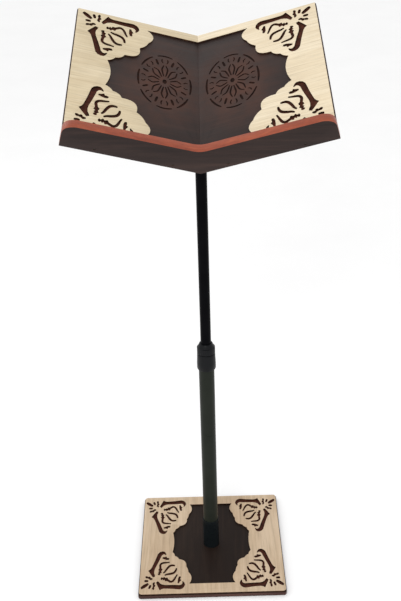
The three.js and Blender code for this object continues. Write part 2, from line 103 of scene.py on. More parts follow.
SIDES = ((-1, "left"), (1, "right"))
SHARP_ANGLE = 32  # degrees: a mesh is shaded smooth over edges that are flatter than this
BEVEL_ANGLE = math.radians(25)
SIDE_SLOPE = 0.6  # a face whose normal has less Z than this is a plate's side
LIP_FACE_SLOPE = 0.75  # a face of the lip whose normal has less Y than this is on its edge


# ---- camera -----------------------------------------------------------------------------------
def make_camera():
    """The photograph's view: a standing person's, a pace and a half away, held slightly askew."""
    place = Vector((0.00585, -1.49694, 1.38183))
    yaw, pitch, roll = (math.radians(angle) for angle in (0.46, 28.68, -1.28))
    forward = Vector((math.sin(yaw) * math.cos(pitch), math.cos(yaw) * math.cos(pitch),
                      -math.sin(pitch)))
    level = Vector((math.cos(yaw), -math.sin(yaw), 0))
    upright = level.cross(forward)
    right = level * math.cos(roll) + upright * math.sin(roll)
    up = upright * math.cos(roll) - level * math.sin(roll)
    data = bpy.data.cameras.new("camera")
    data.lens = 54.8
    data.sensor_width = 36
    data.shift_x = -0.0236
    data.shift_y = 0.0264
    camera = bpy.data.objects.new("camera", data)
    camera.matrix_world = Matrix((
        (right.x, up.x, -forward.x, place.x),
        (right.y, up.y, -forward.y, place.y),
        (right.z, up.z, -forward.z, place.z),
        (0, 0, 0, 1),
    ))
    bpy.context.scene.collection.objects.link(camera)
    bpy.context.scene.camera = camera


make_camera()


# ---- materials --------------------------------------------------------------------------------
def linear(red, green, blue):
    """An 8-bit display colour as the linear colour that a shader takes."""
    def channel(value):
        value /= 255
        return value / 12.92 if value <= 0.04045 else ((value + 0.055) / 1.055) ** 2.4
    return (channel(red), channel(green), channel(blue), 1)


# The smoke's soft patch round each medallion, in metres on the wing.
HAZE_CENTRE = (0.062, 0.155, 0)
HAZE_SIZE = (0.085, 0.13, 0.05)


class Nodes:
    """A material's node tree with short calls for the nodes used here."""

    def __init__(self, name):
        self.material = bpy.data.materials.new(name)
        self.material.use_nodes = True
        self.tree = self.material.node_tree
        self.shader = self.tree.nodes["Principled BSDF"]

    def node(self, kind, **settings):
        made = self.tree.nodes.new(kind)
        for key, value in settings.items():
            setattr(made, key, value)
        return made

    def link(self, output, target):
        self.tree.links.new(output, target)

    def coordinates(self, scale=(1, 1, 1)):
        source = self.node("ShaderNodeTexCoord")
        mapping = self.node("ShaderNodeMapping")
        mapping.inputs["Scale"].default_value = scale
        self.link(source.outputs["Object"], mapping.inputs["Vector"])
        return mapping.outputs["Vector"]

    def noise(self, vector, scale, detail=3.0, roughness=0.55, distortion=0.0):
        made = self.node("ShaderNodeTexNoise")
        made.inputs["Scale"].default_value = scale
        made.inputs["Detail"].default_value = detail
        made.inputs["Roughness"].default_value = roughness
        made.inputs["Distortion"].default_value = distortion
        self.link(vector, made.inputs["Vector"])
        return made.outputs["Fac"]

    def ramp(self, value, *stops):
        made = self.node("ShaderNodeValToRGB")
        elements = made.color_ramp.elements
        while len(elements) < len(stops):
            elements.new(0.5)
        for element, (position, colour) in zip(elements, stops):
            element.position = position
            element.color = colour if isinstance(colour, tuple) else (colour, colour, colour, 1)
        self.link(value, made.inputs["Fac"])
        return made.outputs["Color"]

    def mix(self, factor, first, second, blend="MIX"):
        """A colour mix. Its sockets go by number, as the node has several of each name."""
        made = self.node("ShaderNodeMix", data_type="RGBA", blend_type=blend)
        inputs = made.inputs
        for socket, value in ((inputs[0], factor), (inputs[6], first), (inputs[7], second)):
            if isinstance(value, (float, int, tuple)):
                socket.default_value = value
            else:
                self.link(value, socket)
        return made.outputs[2]

    def bump(self, height, distance, strength=1.0):
        made = self.node("ShaderNodeBump")
        made.inputs["Distance"].default_value = distance
        made.inputs["Strength"].default_value = strength
        self.link(height, made.inputs["Height"])
        self.link(made.outputs["Normal"], self.shader.inputs["Normal"])

    def set(self, **values):
        """Sets the shader's inputs by their names, with underscores for spaces."""
        for key, value in values.items():
            self.shader.inputs[key.replace("_", " ")].default_value = value

    def haze(self):
        """A soft patch round the medallion of either wing, broken up by noise."""
        source = self.node("ShaderNodeTexCoord")
        folded = self.node("ShaderNodeVectorMath", operation="ABSOLUTE")
        self.link(source.outputs["Object"], folded.inputs[0])
        shifted = self.node("ShaderNodeVectorMath", operation="SUBTRACT")
        shifted.inputs[1].default_value = HAZE_CENTRE
        self.link(folded.outputs[0], shifted.inputs[0])
        scaled = self.node("ShaderNodeVectorMath", operation="DIVIDE")
        scaled.inputs[1].default_value = HAZE_SIZE
        self.link(shifted.outputs[0], scaled.inputs[0])
        distance = self.node("ShaderNodeVectorMath", operation="LENGTH")
        self.link(scaled.outputs[0], distance.inputs[0])
        patch = self.ramp(distance.outputs["Value"], (0.25, 0.7), (1.0, 0.0))
        breaks = self.ramp(self.noise(source.outputs["Object"], 35, 3), (0.35, 0.35), (0.6, 1.0))
        return self.mix(1.0, patch, breaks, "MULTIPLY")

    def wear(self, inner, outer, amount):
        """Where edges have worn: 0 on the flats, rising to amount at sharp outside edges."""
        geometry = self.node("ShaderNodeNewGeometry")
        return self.ramp(geometry.outputs["Pointiness"], (inner, 0.0), (outer, amount))


def grain_scale(axis, stretch):
    """Texture scales that draw noise out along one axis."""
    return tuple(1 / stretch if index == axis else 1 for index in range(3))


FIGURE_SCALE = 14
STREAK_SCALE = 126
FIBRE_SCALE = 330
FIBRE_BUMP = 0.00012


def wood(name, base, dark, light, axis, roughness, gloss=0.35, haze=None):
    """Wood with broad figure, streaks and fine fibres drawn out along one object axis. haze is the
    colour that the laser's smoke has left round the medallion."""
    nodes = Nodes(name)
    broad = nodes.noise(nodes.coordinates(grain_scale(axis, 5)), FIGURE_SCALE, 3, 0.5, 0.6)
    streaks = nodes.noise(nodes.coordinates(grain_scale(axis, 14)), STREAK_SCALE, 4, 0.6, 0.3)
    fibres = nodes.noise(nodes.coordinates(grain_scale(axis, 30)), FIBRE_SCALE, 3, 0.7)
    tone = nodes.ramp(broad, (0.3, dark), (0.5, base), (0.72, light))
    streak_tone = nodes.ramp(streaks, (0.36, dark), (0.55, base), (0.7, light))
    figured = nodes.mix(0.45, tone, streak_tone)
    pores = nodes.ramp(fibres, (0.36, 0.8), (0.5, 1.0))
    colour = nodes.mix(0.8, figured, pores, "MULTIPLY")
    if haze:
        colour = nodes.mix(nodes.haze(), colour, haze)
    worn = nodes.mix(nodes.wear(0.53, 0.6, 0.35), colour, light)
    nodes.link(worn, nodes.shader.inputs["Base Color"])
    sheen = nodes.ramp(streaks, (0.3, roughness - 0.07), (0.7, roughness + 0.09))
    nodes.link(sheen, nodes.shader.inputs["Roughness"])
    nodes.bump(fibres, FIBRE_BUMP)
    nodes.set(Specular_IOR_Level=gloss)
    return nodes.material


SCUFF_GREY = (0.3, 0.3, 0.3, 1)


def painted(name, colour, roughness, gloss, speck=0.08, metallic=0.0):
    """Powder coat or moulded plastic: fine orange peel, faint scuffs and uneven gloss."""
    nodes = Nodes(name)
    vector = nodes.coordinates()
    patches = nodes.noise(vector, 22, 4, 0.6)
    peel = nodes.noise(vector, 900, 2, 0.5)
    scuffs = nodes.noise(nodes.coordinates((1, 1, 0.12)), 260, 4, 0.75, 0.4)
    tint = tuple(min(1, channel * 1.8 + 0.002) for channel in colour[:3]) + (1,)
    shaded = nodes.mix(nodes.ramp(patches, (0.35, 0.0), (0.75, 0.5)), colour, tint)
    scratched = nodes.mix(nodes.ramp(scuffs, (0.66, 0.0), (0.76, speck)), shaded, SCUFF_GREY)
    worn = nodes.mix(nodes.wear(0.53, 0.62, 0.3), scratched, tint)
    nodes.link(worn, nodes.shader.inputs["Base Color"])
    rough = nodes.ramp(patches, (0.3, roughness - 0.06), (0.7, roughness + 0.1))
    nodes.link(rough, nodes.shader.inputs["Roughness"])
    nodes.bump(peel, 0.00004, 0.6)
    nodes.set(Specular_IOR_Level=gloss, Metallic=metallic)
    return nodes.material


def burnt(name, dark, ember):
    """Wood that a laser has scorched: near black with reddish patches."""
    nodes = Nodes(name)
    patches = nodes.noise(nodes.coordinates(), 120, 4, 0.65)
    nodes.link(nodes.ramp(patches, (0.35, dark), (0.68, ember)), nodes.shader.inputs["Base Color"])
    nodes.bump(nodes.noise(nodes.coordinates(), 1500, 2), 0.0001, 0.7)
    nodes.set(Roughness=0.85, Specular_IOR_Level=0.1)
    return nodes.material


def zinc(name):
    """Zinc-plated steel: brushed, slightly yellowed, with dull patches."""
    nodes = Nodes(name)
    patches = nodes.noise(nodes.coordinates(), 160, 4, 0.6)
    tone = nodes.ramp(patches, (0.3, linear(150, 148, 142)), (0.7, linear(196, 194, 186)))
    nodes.link(tone, nodes.shader.inputs["Base Color"])
    nodes.link(nodes.ramp(patches, (0.3, 0.28), (0.7, 0.48)), nodes.shader.inputs["Roughness"])
    nodes.bump(nodes.noise(nodes.coordinates((1, 1, 8)), 700, 2), 0.00003, 0.5)
    nodes.set(Metallic=0.9)
    return nodes.material


ACROSS, ALONG = 0, 1
MAPLE = dict(
    base=linear(223, 208, 180), dark=linear(209, 191, 160), light=linear(236, 224, 201),
    roughness=0.58, gloss=0.3)
# A darker copy of the maple for the left wing's fretwork: painted shade, as that wing is lit less
# than the right.
PAINTED_SHADE_MAPLE = dict(
    base=linear(205, 189, 158), dark=linear(190, 171, 139), light=linear(220, 206, 179),
    roughness=0.58, gloss=0.3)
# A darker, pinker maple for the base's fretwork.
DARKER_PINKER_MAPLE = dict(
    base=linear(192, 169, 141), dark=linear(174, 149, 121), light=linear(210, 189, 163),
    roughness=0.6, gloss=0.25)
WENGE = dict(
    base=linear(44, 32, 29), dark=linear(27, 19, 18), light=linear(64, 48, 43),
    roughness=0.48, gloss=0.2)
maple_across = wood("maple_across", axis=ACROSS, **MAPLE)
# The left wing's maple, darker as painted shade.
maple_painted_shade = wood("maple_painted_shade", axis=ACROSS, **PAINTED_SHADE_MAPLE)
maple_along = wood("maple_along", axis=ALONG, **DARKER_PINKER_MAPLE)
wenge_across = wood("wenge_across", axis=ACROSS, **WENGE)
wenge_along = wood("wenge_along", linear(34, 25, 21), linear(22, 15, 13), linear(48, 37, 31),
                   ALONG, 0.5, 0.08)
wenge_wing = wood("wenge_wing", axis=ACROSS, **WENGE, haze=linear(80, 44, 28))
mahogany = wood("mahogany", linear(146, 66, 38), linear(112, 44, 24), linear(172, 92, 60),
                ACROSS, 0.42)
board_edge = wood("board_edge", linear(74, 48, 42), linear(52, 32, 28), linear(98, 68, 60),
                  ACROSS, 0.6, 0.2)
raw_timber = wood("raw_timber", linear(196, 160, 116), linear(168, 130, 90), linear(214, 182, 140),
                  ACROSS, 0.7)
scorched = burnt("scorched", linear(30, 18, 14), linear(84, 54, 36))
ember = burnt("ember", linear(48, 24, 18), linear(80, 42, 30))
# The engraving's grooves: the laser's real burn, made darker still as painted shade in the grooves.
engraved = burnt("engraved", linear(16, 9, 7), linear(46, 24, 16))
black_steel = painted("black_steel", linear(4, 4, 6), 0.26, 0.03, 0.02)
socket_steel = painted("socket_steel", linear(17, 21, 23), 0.3, 0.05, 0.03)
grey_steel = painted("grey_steel", linear(30, 33, 28), 0.3, 0.07, 0.04)
black_plastic = painted("black_plastic", linear(15, 16, 18), 0.34, 0.12, 0.02)
white_nylon = painted("white_nylon", linear(218, 216, 206), 0.5, 0.4, 0.0)
zinc_steel = zinc("zinc_steel")
nail_steel = painted("nail_steel", linear(44, 38, 34), 0.5, 0.3, 0.1, 0.3)


# ---- mesh helpers -----------------------------------------------------------------------------
def piece(name, mesh, body, replaced=None, place=None):
    """Puts a mesh in the scene as a piece that rides a CAD body and may stand for a CAD node."""
    thing = bpy.data.objects.new(name, mesh)
    bpy.context.scene.collection.objects.link(thing)
    if place is not None:
        thing.matrix_world = place
    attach(thing, body)
    if replaced:
        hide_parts(replaced)


def coated(mesh, material):
    mesh.materials.append(material)
    return mesh


def finish_mesh(mesh, angle=SHARP_ANGLE):
    """Welds a mesh, turns its faces outwards and shades it smooth but for its sharp edges."""
    shell = bmesh.new()
    shell.from_mesh(mesh)
    bmesh.ops.remove_doubles(shell, verts=shell.verts, dist=2e-6)
    bmesh.ops.recalc_face_normals(shell, faces=shell.faces)
    shell.to_mesh(mesh)
    shell.free()
    mesh.shade_smooth()
    mesh.set_sharp_from_angle(angle=math.radians(angle))
    return mesh


def turned(name, profile, segments=96, flutes=None):
    """A mesh turned round Z from (radius, height) points in millimetres, closed on itself or on
    the axis. flutes is (count, depth, lowest, highest): shallow grooves between two heights."""
    mesh = bpy.data.meshes.new(name)
    shell = bmesh.new()
    closed = profile[0] == profile[-1]
    points = profile[:-1] if closed else profile
    rings = []
    for radius, height in points:
        if radius == 0:
            rings.append([shell.verts.new((0, 0, height * MM))] * segments)
            continue
        ring = []
        for step in range(segments):
            turn = 2 * math.pi * step / segments
            reach = radius
            if flutes:
                count, depth, lowest, highest = flutes
                if lowest <= height <= highest:
                    reach -= depth * max(0, math.cos(count * turn)) ** 2
            x, y = reach * MM * math.cos(turn), reach * MM * math.sin(turn)
            ring.append(shell.verts.new((x, y, height * MM)))
        rings.append(ring)
    pairs = list(zip(rings, rings[1:])) + ([(rings[-1], rings[0])] if closed else [])
    for lower, upper in pairs:
        for step in range(segments):
            after = (step + 1) % segments
            corners = dict.fromkeys((lower[step], lower[after], upper[after], upper[step]))
            if len(corners) > 2:
                shell.faces.new(tuple(corners))
    shell.to_mesh(mesh)
    shell.free()
    return finish_mesh(mesh)


def tube_profile(outer, inner, bottom, top, chamfer=0.4):
    return [
        (inner, bottom), (outer - chamfer, bottom), (outer, bottom + chamfer),
        (outer, top - chamfer), (outer - chamfer, top), (inner, top), (inner, bottom),
    ]


def evaluated_mesh(thing):
    """A new mesh of an object as its modifiers or its curve's settings make it."""
    graph = bpy.context.evaluated_depsgraph_get()
    return bpy.data.meshes.new_from_object(thing.evaluated_get(graph))


def curve_mesh(name, curve):
    holder = bpy.data.objects.new(name, curve)
    bpy.context.scene.collection.objects.link(holder)
    mesh = evaluated_mesh(holder)
    bpy.data.objects.remove(holder)
    return mesh


def sheet_mesh(name, outline, holes, bottom, top, bevel):
    """A flat plate from an outline and its holes, in millimetres, with softened edges."""
    curve = bpy.data.curves.new(name, "CURVE")
    curve.dimensions = "2D"
    curve.fill_mode = "BOTH"
    curve.extrude = ((top - bottom) / 2 - bevel) * MM
    curve.bevel_depth = bevel * MM
    curve.bevel_resolution = 1
    curve.offset = -bevel * MM
    for loop in [outline, *holes]:
        spline = curve.splines.new("POLY")
        spline.points.add(len(loop) - 1)
        for point, (x, y) in zip(spline.points, loop):
            point.co = (x * MM, y * MM, 0, 1)
        spline.use_cyclic_u = True
    mesh = curve_mesh(name, curve)
    mesh.transform(Matrix.Translation((0, 0, (bottom + top) / 2 * MM)))
    return finish_mesh(mesh)


def bar_mesh(name, section, near, far, bevel=0.6):
    """A bar: a section in X and Z drawn out along Y, in millimetres, with softened edges."""
    mesh = bpy.data.meshes.new(name)
    shell = bmesh.new()
    ends = [[shell.verts.new((x * MM, y * MM, z * MM)) for x, z in section] for y in (near, far)]
    shell.faces.new(ends[0])
    shell.faces.new(ends[1][::-1])
    for index in range(len(section)):
        after = (index + 1) % len(section)
        shell.faces.new((ends[0][index], ends[0][after], ends[1][after], ends[1][index]))
    bmesh.ops.recalc_face_normals(shell, faces=shell.faces)
    sharp = [edge for edge in shell.edges if edge.calc_face_angle(0) > BEVEL_ANGLE]
    bmesh.ops.bevel(shell, geom=sharp, offset=bevel * MM, segments=2, profile=0.6, affect="EDGES")
    shell.to_mesh(mesh)
    shell.free()
    return finish_mesh(mesh)


def carve(mesh, cutters, lining):
    """Cuts separate cutter meshes out of a mesh, and gives the cuts a material of their own."""
    target = bpy.data.objects.new("carved", mesh)
    if lining.name not in mesh.materials:
        mesh.materials.append(lining)
    joined = bmesh.new()
    for cutter in cutters:
        joined.from_mesh(cutter)
    tool_mesh = bpy.data.meshes.new("cutter")
    joined.to_mesh(tool_mesh)
    joined.free()
    tool_mesh.materials.append(lining)
    tool = bpy.data.objects.new("cutter", tool_mesh)
    for thing in (target, tool):
        bpy.context.scene.collection.objects.link(thing)
    cut = target.modifiers.new("cut", "BOOLEAN")
    cut.object = tool
    cut.solver = "EXACT"
    cut.material_mode = "TRANSFER"
    result = evaluated_mesh(target)
    for thing in (target, tool):
        bpy.data.objects.remove(thing)
    result.shade_smooth()
    result.set_sharp_from_angle(angle=math.radians(SHARP_ANGLE))
    return result


EMBER_DEPTH = 0.2
EMBER_RISE = 0.04


def add_floors(mesh, shapes, top):
    """Adds the scorched floors that show through the piercings, a hair over the board's face."""
    ember_index = len(mesh.materials)
    mesh.materials.append(ember)
    shell = bmesh.new()
    shell.from_mesh(mesh)
    for shape in shapes:
        before = len(shell.faces)
        shell.from_mesh(sheet_mesh("floor", shape, [], top - EMBER_DEPTH, top + EMBER_RISE, 0))
        shell.faces.ensure_lookup_table()
        for index in range(before, len(shell.faces)):
            shell.faces[index].material_index = ember_index
    shell.to_mesh(mesh)
    shell.free()


def paint_sides(mesh, face_material, side_material):
    """Gives a plate one material for its faces and another for its sides."""
    mesh.materials.append(face_material)
    mesh.materials.append(side_material)
    for face in mesh.polygons:
        if abs(face.normal.z) < SIDE_SLOPE:
            face.material_index = 1


def paint_edges(mesh, inside):
    """Gives a board's outer edges their own material: the upright faces that inside() refuses."""
    edge_index = len(mesh.materials)
    mesh.materials.append(board_edge)
    for face in mesh.polygons:
        if abs(face.normal.z) < SIDE_SLOPE and not inside(face.center.x / MM, face.center.y / MM):
            face.material_index = edge_index


def mirror_mesh(mesh):
    mesh.transform(Matrix.Scale(-1, 4, (1, 0, 0)))
    mesh.flip_normals()


# ---- outlines ---------------------------------------------------------------------------------
def spline_points(points, steps):
    """A Catmull-Rom curve through the points."""
    last = len(points) - 1
    curve = []
    for index in range(last):
        a, b, c, d = (Vector(points[min(max(index + shift, 0), last)]) for shift in (-1, 0, 1, 2))
        for step in range(steps):
            t = step / steps
            curve.append(0.5 * (2 * b + (c - a) * t + (2 * a - 5 * b + 4 * c - d) * t * t
                                + (3 * b - a - 3 * c + d) * t ** 3))
    curve.append(Vector(points[-1]))
    return curve


def stroke(points, width, steps=5, blunt=0.5, leaflets=0, leafy=1.0, swell=1.0):
    """The outline of a brush stroke: full width along its middle, tapered to blunt at its two
    ends. Its first part, leafy of its length, swells out into leaflets on both sides."""
    line = spline_points(points, steps)
    left, right = [], []
    for index, point in enumerate(line):
        before, after = line[max(index - 1, 0)], line[min(index + 1, len(line) - 1)]
        along = (after - before).normalized()
        part = index / (len(line) - 1)
        half = width / 2 * (blunt + (1 - blunt) * math.sin(math.pi * part) ** 0.7)
        if part < leafy:
            half *= 1 + swell * math.sin(math.pi * leaflets * part / leafy) ** 2
        side = Vector((-along.y, along.x)) * half
        left.append(point + side)
        right.append(point - side)
    return [tuple(point) for point in left + right[::-1]]


def bend(start, control, end, t):
    """A point of a quadratic curve."""
    return (1 - t) ** 2 * start + 2 * t * (1 - t) * control + t * t * end


def arc_loop(cusps, steps=7):
    """A closed outline of arcs from (x, y, bulge) cusps: the arc after each bulges to its right."""
    loop = []
    for index, (x, y, bulge) in enumerate(cusps):
        next_x, next_y, _ = cusps[(index + 1) % len(cusps)]
        length = math.hypot(next_x - x, next_y - y)
        control_x = (x + next_x) / 2 + (next_y - y) / length * bulge * 2
        control_y = (y + next_y) / 2 - (next_x - x) / length * bulge * 2
        count = steps if bulge else 1
        for step in range(count):
            t = step / count
            loop.append((bend(x, control_x, next_x, t), bend(y, control_y, next_y, t)))
    return loop


def circle_outline(x, y, radius, steps=32):
    turns = [2 * math.pi * step / steps for step in range(steps)]
    return [(x + radius * math.cos(turn), y + radius * math.sin(turn)) for turn in turns]


def square_outline(side):
    half = side / 2
    return [(-half, -half), (half, -half), (half, half), (-half, half)]


def rounded_square(side, radius, steps=8):
    half = side / 2 - radius
    loop = []
    for corner, (sign_x, sign_y) in enumerate(((1, 1), (-1, 1), (-1, -1), (1, -1))):
        for step in range(steps + 1):
            turn = math.pi / 2 * (corner + step / steps)
            x = sign_x * half + radius * math.cos(turn)
            y = sign_y * half + radius * math.sin(turn)
            loop.append((x, y))
    return loop


# ---- fretwork ---------------------------------------------------------------------------------
# One corner ornament in its own axes: (along the ornament's axis from the corner, to its side).
# Every shape is repeated on the other side of the axis, except the leaf that lies on it. BAR and
# DROP are outlines; the others are a stroke's middle line and width.
BAR = [
    (41, 9), (40.5, 15), (40, 22), (39.5, 32.5), (45, 32.5), (50, 34.5), (58, 40.5), (68, 48.5),
    (77, 56.5), (82, 60.5), (88, 62), (94, 60.5), (98.5, 56.5), (99.5, 51), (98.5, 45),
    (96.5, 45.5), (95, 49.5), (91.5, 51), (87, 50), (80, 44.5), (70, 37), (57, 28), (52, 23),
    (48.5, 17), (48, 12), (46.5, 7.5),
]
DROP = [
    (100, 30.5), (98.5, 34), (95.5, 36.5), (96.5, 40.5), (91.5, 42), (87.5, 44.5), (84.8, 42.3),
    (88, 37), (92, 31.5), (96.5, 28.5),
]
PETAL = ([(68, 3.8), (74, 5), (81, 8.5), (89, 11.2), (94.5, 10.5), (99, 7.5), (102, 4)], 6.0)
WAVE = ([
    (55.5, 6.3), (60, 9), (64.5, 13.5), (68.5, 21), (72, 28), (77.5, 30), (84, 27.5), (89, 24.5),
    (95.5, 21),
], 5.6)
SPRIG = ([(38.5, 5.4), (34, 8.8), (33, 13.3), (29.3, 16.8), (27, 22)], 4.4)
BUD = ([(27, 6.2), (23, 9.7), (19, 13)], 6.0)
LEAF = ([(24, 0), (16, 0), (10, 0), (3, 0)], 9.0)

# Where the ornament's corner lies, and its two axes, in the plates' millimetres.
BASE_FRET = dict(origin=(147.3, 133.5), along=(-0.704, -0.585), aside=(0.395, -0.855))
PANEL_FRET = dict(origin=(206.5, 311.5), along=(-0.735, -0.69), aside=(0.51, -0.87))
PANEL_FRET_MIDDLE = 152  # the wing's near corners mirror its far ones about this line
FRET_LOWEST = 1.5  # the wing's piercings end this far from the lip


def corner_shapes():
    wave = stroke(*WAVE, leaflets=3, leafy=0.36, swell=1.1)
    sprig = stroke(*SPRIG, leaflets=3, swell=0.6)
    half = [BAR, DROP, wave, sprig, stroke(*PETAL), stroke(*BUD)]
    other = [[(along, -aside) for along, aside in shape] for shape in half]
    return half + other + [stroke(*LEAF)]


def placed_shapes(fret, sign_x=1, sign_y=1, middle_y=0.0):
    """The corner ornament in a plate's axes, mirrored to the corner that the signs name."""
    def place(along, aside):
        x = fret["origin"][0] + along * fret["along"][0] + aside * fret["aside"][0]
        y = fret["origin"][1] + along * fret["along"][1] + aside * fret["aside"][1]
        return sign_x * x, y if sign_y > 0 else 2 * middle_y - y
    return [[place(*point) for point in shape] for shape in corner_shapes()]


# The cusps of the openings, as (x, y, bulge of the arc after it): the base's far right quarter
# from the far edge to the side, and the wing's from its far arm round to its near arm.
BASE_QUARTER = [
    (47, 122, 5.5), (49, 89, 1), (53.5, 73, 6), (69, 51, 1.2), (78, 41, 1.2), (83, 30, 3),
]
PANEL_OPENING = [
    (91, 298, 9.5), (88, 261, 2.2), (103, 240, 12), (128, 211, 3), (143, 198, 1.7),
    (156, 186, 7), (156, 118, 1.7), (143, 106, 3), (128, 93, 12), (103, 64, 2.2), (88, 43, 9.5),
    (91, 7, 0),
]


def base_opening():
    far = BASE_QUARTER
    bulges = [0] + [bulge for _, _, bulge in far]
    near = [(x, -y, bulge) for (x, y, _), bulge in zip(far, bulges)][::-1]
    right = far + near
    left = [(-x, -y, bulge) for x, y, bulge in right]
    return arc_loop(right + left)


# ---- base -------------------------------------------------------------------------------------
def make_base_board(shapes):
    outline = rounded_square(BASE_SIDE, BASE_CORNER_RADIUS)
    board = sheet_mesh("base_board", outline, [], 0, BOARD_THICKNESS, bevel=0.7)
    pocket_outline = square_outline(FLANGE_SIDE + 2 * GLUE_GAP)
    pocket = sheet_mesh("pocket", pocket_outline, [], -1, FLANGE_THICKNESS + GLUE_GAP, 0)
    bore_radius = SOCKET_RADIUS + GLUE_GAP
    bore = turned("bore", [(0, 1), (bore_radius, 1), (bore_radius, 20), (0, 20)], segments=64)
    board = carve(coated(board, wenge_along), [pocket], wenge_along)
    board = carve(board, [bore], wenge_along)
    rim = BASE_SIDE / 2 - BASE_CORNER_RADIUS
    paint_edges(board, lambda x, y: max(abs(x), abs(y)) < rim)
    add_floors(board, shapes, BOARD_THICKNESS)
    piece("base_board_finished", board, "base", "base_board")


def make_base_overlay(shapes):
    bottom = BOARD_THICKNESS + GLUE_GAP
    outline = rounded_square(BASE_SIDE - 2 * OVERLAY_INSET, BASE_CORNER_RADIUS)
    overlay = sheet_mesh("base_overlay", outline, [base_opening(), *shapes], bottom,
                         bottom + OVERLAY_THICKNESS, OVERLAY_BEVEL)
    paint_sides(overlay, maple_along, scorched)
    piece("base_fretwork", overlay, "base", "base_overlay")


def make_base():
    corners = [placed_shapes(BASE_FRET, sign_x, sign_y) for sign_x in (1, -1) for sign_y in (1, -1)]
    shapes = [shape for corner in corners for shape in corner]
    make_base_board(shapes)
    make_base_overlay(shapes)


make_base()


# ---- lectern ----------------------------------------------------------------------------------
def lectern_place():
    return Matrix.Translation((0, FOLD_Y * MM, FOLD_Z * MM)) @ Matrix.Rotation(LEAN, 4, "X")


def wing_place(side):
    return lectern_place() @ Matrix.Rotation(-side * WING, 4, "Y")


def on_wing(reach, height):
    """A point on the right wing, in the lectern's X and Z."""
    x = reach * math.cos(WING) - height * math.sin(WING)
    z = reach * math.sin(WING) + height * math.cos(WING)
    return x, z


def wing_section(top, bottom, reach):
    """A slab of the right wing between two depths, mitred at the fold."""
    mitre = math.tan(WING)
    return [(-top * mitre, -top), (reach, -top), (reach, -bottom), (-bottom * mitre, -bottom)]


# The medallion on the right wing. Its lines are points of (radius, as a part of the oval's, and
# turn from a petal's middle, as a part of the way to the gap beside it), each with a width.
MEDALLION_CENTRE = (58, 165)
MEDALLION_HALF_WIDTH = 46
MEDALLION_HALF_HEIGHT = 73
PETALS = 8
RING_ARC = ([(0.98, -0.75), (0.98, -0.4), (0.98, 0), (0.98, 0.4), (0.98, 0.75)], 3.6)
RING_BUD = ([(0.66, 1), (0.75, 1), (0.87, 1)], 4.2)
HALF_PETAL = ([(0.2, 0.42), (0.34, 0.6), (0.48, 0.56), (0.62, 0.14)], 3.0)
CURL = ([(0.71, 0.26), (0.79, 0.38), (0.87, 0.3)], 2.4)
HEART_RADIUS = 0.08
ENGRAVING_DEPTH = 0.8


def medallion():
    """A generic engraved roundel: a broken oval ring round an eight-petalled flower with buds."""
    sector = math.pi / PETALS
    lines = [(RING_ARC, 1), (RING_BUD, 1)]
    lines += [(line, mirror) for mirror in (-1, 1) for line in (HALF_PETAL, CURL)]

    def at(radius, turn):
        x = MEDALLION_CENTRE[0] + MEDALLION_HALF_WIDTH * radius * math.sin(turn)
        y = MEDALLION_CENTRE[1] + MEDALLION_HALF_HEIGHT * radius * math.cos(turn)
        return x, y

    shapes = []
    for index in range(PETALS):
        turn = 2 * sector * index
        for (line, width), mirror in lines:
            points = [at(radius, turn + mirror * sector * spread) for radius, spread in line]
            shapes.append(stroke(points, width))
    shapes.append([at(HEART_RADIUS, 2 * math.pi * step / 16) for step in range(16)])
    return shapes


def clipped(shape, lowest):
    """A shape cut off at a least Y: None if nothing is left or if it would fall in two."""
    kept = []
    crossings = 0
    for (x, y), (next_x, next_y) in zip(shape, shape[1:] + shape[:1]):
        if y >= lowest:
            kept.append((x, y))
        if (y >= lowest) != (next_y >= lowest):
            crossings += 1
            part = (lowest - y) / (next_y - y)
            kept.append((x + part * (next_x - x), lowest))
    return kept if len(kept) > 2 and crossings <= 2 else None


def wing_board(name, shapes):
    section = wing_section(BOARD_TOP, BOARD_BOTTOM, PANEL_WIDTH)
    board = bar_mesh(f"{name}_board", section, GLUE_GAP, PANEL_LENGTH - END_GAP, bevel=0.5)
    lines = [sheet_mesh("line", shape, [], -BOARD_TOP - ENGRAVING_DEPTH, -BOARD_TOP + 1, 0)
             for shape in medallion()]
    # The grooves are lined with the engraving's material: burn and painted shade.
    board = carve(coated(board, wenge_wing), lines, engraved)
    paint_edges(board, lambda x, y: x < PANEL_WIDTH - 1 and 1 < y < PANEL_LENGTH - 1)
    add_floors(board, shapes, -BOARD_TOP)
    return board


def wing_overlay(name, shapes, face_material):
    """The fretwork frame of the right wing, open to the fold between its two arms."""
    far = PANEL_LENGTH - OVERLAY_INSET
    reach = PANEL_WIDTH - OVERLAY_INSET
    far_arm, near_arm = PANEL_OPENING[0][1], PANEL_OPENING[-1][1]
    outline = [(0, GLUE_GAP), (reach, GLUE_GAP), (reach, far), (0, far), (0, far_arm)]
    outline += arc_loop(PANEL_OPENING) + [(0, near_arm)]
    overlay = sheet_mesh(f"{name}_overlay", outline, shapes, -OVERLAY_THICKNESS, 0, OVERLAY_BEVEL)
    paint_sides(overlay, face_material, scorched)
    return overlay


def wing_batten(name):
    top = BOARD_BOTTOM + GLUE_GAP
    section = wing_section(top, top + BATTEN_DEPTH, BATTEN_REACH)
    batten = bar_mesh(f"{name}_strip", section, GLUE_GAP, LIP_THICKNESS, bevel=0.6)
    return coated(batten, raw_timber)


